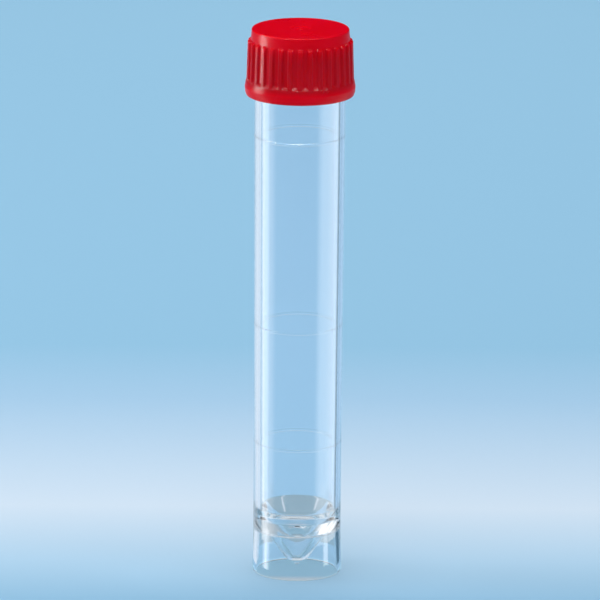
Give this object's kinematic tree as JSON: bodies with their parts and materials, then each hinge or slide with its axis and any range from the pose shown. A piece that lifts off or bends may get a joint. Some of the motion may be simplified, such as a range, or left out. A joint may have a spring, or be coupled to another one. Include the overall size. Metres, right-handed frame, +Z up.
{
  "type": "test tube",
  "caption": "Clear screw-cap sample tube with a conical chamber floor, a hollow standing skirt, ring graduation marks and a ribbed screw cap with a flat seal.",
  "frame": {"origin": "centre of the ring-shaped foot that the tube stands on", "axes": "+Z up along the tube's axis, towards the cap; +X and +Y are any two directions across it, with the tube's thread starting at +X"},
  "size_m": [0.0196, 0.0196, 0.0991],
  "materials": {
    "clear_polystyrene": "clear",
    "red_polyethylene": "satin",
    "white_liner": "matte"
  },
  "bodies": {
    "tube": {"tube": "clear_polystyrene"},
    "seal": {"seal_liner": "white_liner"},
    "cap": {"screw_cap": "red_polyethylene"}
  },
  "joints": [
    {"name": "cap_lift", "type": "slide", "parent": "tube", "child": "seal", "axis": [0, 0, 1], "range_m": [0, 0.0135]},
    {"name": "cap_turn", "type": "hinge", "parent": "seal", "child": "cap", "pos_m": [0, 0, 0.0975], "axis": [0, 0, 1], "range_deg": [0, 1620]}
  ],
  "couplings": [
    {"joint": "cap_lift", "follows": "cap_turn", "m_per_rad": 0.00047746}
  ]
}
